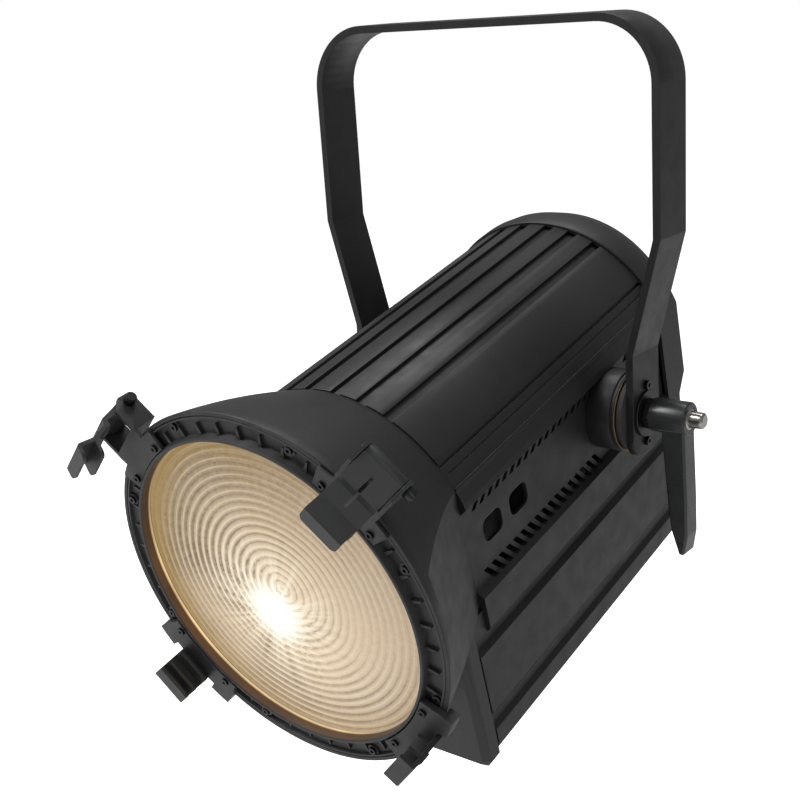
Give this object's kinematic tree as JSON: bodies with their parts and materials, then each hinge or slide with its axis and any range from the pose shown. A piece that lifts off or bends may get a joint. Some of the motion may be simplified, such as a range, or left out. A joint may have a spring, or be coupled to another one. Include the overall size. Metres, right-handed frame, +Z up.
{
  "type": "fresnel spotlight",
  "caption": "Tilting LED Fresnel studio spotlight: grooved half-round body, bell hood, stepped lens, accessory holders, clamp lever and a bent flat-bar hanging yoke.",
  "frame": {"origin": "centre of the mounting bore in the top face of the yoke bar", "axes": "+X towards the clamp lever, -Y the way the lamp shines, +Z up"},
  "size_m": [0.324, 0.4709, 0.4962],
  "materials": {
    "yoke_paint": "dark grey fine-texture powder coat",
    "body_paint": "matte dark grey powder coat on extruded and cast aluminium",
    "ring_paint": "satin grey paint on cast aluminium",
    "cover_plastic": "moulded, lightly textured",
    "latch_plastic": "satin moulded plastic",
    "lever_paint": "satin grey paint",
    "dark_steel": "dark zinc plate",
    "screw_steel": "black oxide with worn highlights",
    "chrome": "polished",
    "brass": "turned",
    "friction_pad": "moulded friction lining",
    "rubber": "matt",
    "lens_glass": "stepped Fresnel rings, warm light behind",
    "inner_aluminium": "bare sheet",
    "inner_steel": "ground",
    "reflector": "bright anodised",
    "led_ceramic": "phosphor on ceramic",
    "panel_face": "matt overlay",
    "display": "glossy window",
    "knob_plastic": "soft-touch",
    "socket_plastic": "moulded",
    "motor_black": "matt",
    "board_green": "solder mask"
  },
  "bodies": {
    "yoke": {"yoke": "yoke_paint", "friction_discs": "friction_pad", "yoke_washers": "dark_steel", "yoke_screws": "screw_steel"},
    "clamp_lever": {"clamp_lever": "lever_paint", "lever_nut": "dark_steel"},
    "release_button": {"release_button": "chrome"},
    "head": {"top_shell": "body_paint", "side_panel_right": "body_paint", "side_panel_left": "body_paint", "lower_housing": "body_paint", "front_cover": "cover_plastic", "hood": "body_paint", "bezel_ring": "ring_paint", "bezel_screws": "screw_steel", "fresnel_lens": "lens_glass", "lens_gasket": "rubber", "lens_retainer": "inner_aluminium", "accessory_holder_right": "ring_paint", "accessory_holder_left": "ring_paint", "latch_bracket_right": "ring_paint", "latch_bracket_left": "ring_paint", "latch_pins": "dark_steel", "latch_springs": "screw_steel", "holder_screws": "screw_steel", "tilt_bosses": "body_paint", "brass_washers": "brass", "pivot_stud": "dark_steel", "pivot_bolt": "dark_steel", "rear_cap": "cover_plastic", "rear_panel": "panel_face", "display_window": "display", "power_inlet": "socket_plastic", "data_sockets": "socket_plastic", "fuse_holder": "socket_plastic", "rear_screws": "screw_steel", "front_bulkhead": "inner_aluminium", "rear_bulkhead": "inner_aluminium", "guide_rods": "inner_steel", "zoom_motor": "motor_black", "fan_frame": "motor_black", "power_supply": "inner_aluminium", "control_board": "board_green"},
    "latch_right": {"latch_right": "latch_plastic"},
    "latch_left": {"latch_left": "latch_plastic"},
    "dimmer_knob": {"dimmer_knob": "knob_plastic"},
    "focus_knob": {"focus_knob": "knob_plastic"},
    "menu_key_1": {"menu_key_1": "knob_plastic"},
    "menu_key_2": {"menu_key_2": "knob_plastic"},
    "menu_key_3": {"menu_key_3": "knob_plastic"},
    "power_rocker": {"power_rocker": "knob_plastic"},
    "lead_screw": {"lead_screw": "inner_steel"},
    "carriage": {"carriage_plate": "inner_aluminium", "linear_bushes": "inner_steel", "lead_nut": "brass", "heat_sink": "inner_aluminium", "led_array": "led_ceramic", "reflector": "reflector"},
    "fan_rotor": {"fan_rotor": "motor_black"}
  },
  "joints": [
    {"name": "tilt", "type": "hinge", "parent": "yoke", "child": "head", "pos_m": [0, 0, -0.285], "axis": [1, 0, 0], "range_deg": [-65, 77]},
    {"name": "clamp_turn", "type": "hinge", "parent": "yoke", "child": "clamp_lever", "pos_m": [0, 0, -0.285], "axis": [1, 0, 0], "range_deg": [-75, 75]},
    {"name": "release_press", "type": "slide", "parent": "clamp_lever", "child": "release_button", "axis": [-1, 0, 0], "range_m": [0, 0.0025], "stiffness_N_per_m": 800, "springref_m": -0.002},
    {"name": "latch_right_hinge", "type": "hinge", "parent": "head", "child": "latch_right", "pos_m": [0.11172, -0.28724, -0.23665], "axis": [-0.7071, -0.1591, 0.689], "range_deg": [0, 50], "stiffness_Nm_per_rad": 0.25, "springref_deg": -22.92},
    {"name": "latch_left_hinge", "type": "hinge", "parent": "head", "child": "latch_left", "pos_m": [-0.11172, -0.28724, -0.23665], "axis": [-0.7071, 0.1591, -0.689], "range_deg": [-18, 32], "stiffness_Nm_per_rad": 0.25, "springref_deg": -40.91},
    {"name": "focus_slide", "type": "slide", "parent": "head", "child": "carriage", "axis": [0, -0.9744, -0.225], "range_m": [-0.055, 0.07]},
    {"name": "lead_screw_turn", "type": "hinge", "parent": "head", "child": "lead_screw", "pos_m": [0, -0.04182, -0.3706], "axis": [0, -0.9744, -0.225], "range_deg": [-2500, 3200]},
    {"name": "fan_spin", "type": "hinge", "parent": "head", "child": "fan_rotor", "pos_m": [0, 0.06821, -0.26925], "axis": [0, -0.9744, -0.225], "continuous": true},
    {"name": "dimmer_turn", "type": "hinge", "parent": "head", "child": "dimmer_knob", "pos_m": [-0.034, 0.11063, -0.23072], "axis": [0, 0.9744, 0.225], "continuous": true},
    {"name": "focus_turn", "type": "hinge", "parent": "head", "child": "focus_knob", "pos_m": [-0.034, 0.11827, -0.26385], "axis": [0, 0.9744, 0.225], "continuous": true},
    {"name": "menu_key_1_press", "type": "slide", "parent": "head", "child": "menu_key_1", "axis": [0, -0.9744, -0.225], "range_m": [0, 0.0012], "stiffness_N_per_m": 700, "springref_m": -0.001},
    {"name": "menu_key_2_press", "type": "slide", "parent": "head", "child": "menu_key_2", "axis": [0, -0.9744, -0.225], "range_m": [0, 0.0012], "stiffness_N_per_m": 700, "springref_m": -0.001},
    {"name": "menu_key_3_press", "type": "slide", "parent": "head", "child": "menu_key_3", "axis": [0, -0.9744, -0.225], "range_m": [0, 0.0012], "stiffness_N_per_m": 700, "springref_m": -0.001},
    {"name": "power_rock", "type": "hinge", "parent": "head", "child": "power_rocker", "pos_m": [-0.06, 0.11438, -0.26475], "axis": [1, 0, 0], "range_deg": [0, 13]}
  ],
  "couplings": [
    {"joint": "lead_screw_turn", "follows": "focus_slide", "rad_per_m": 785.4}
  ]
}
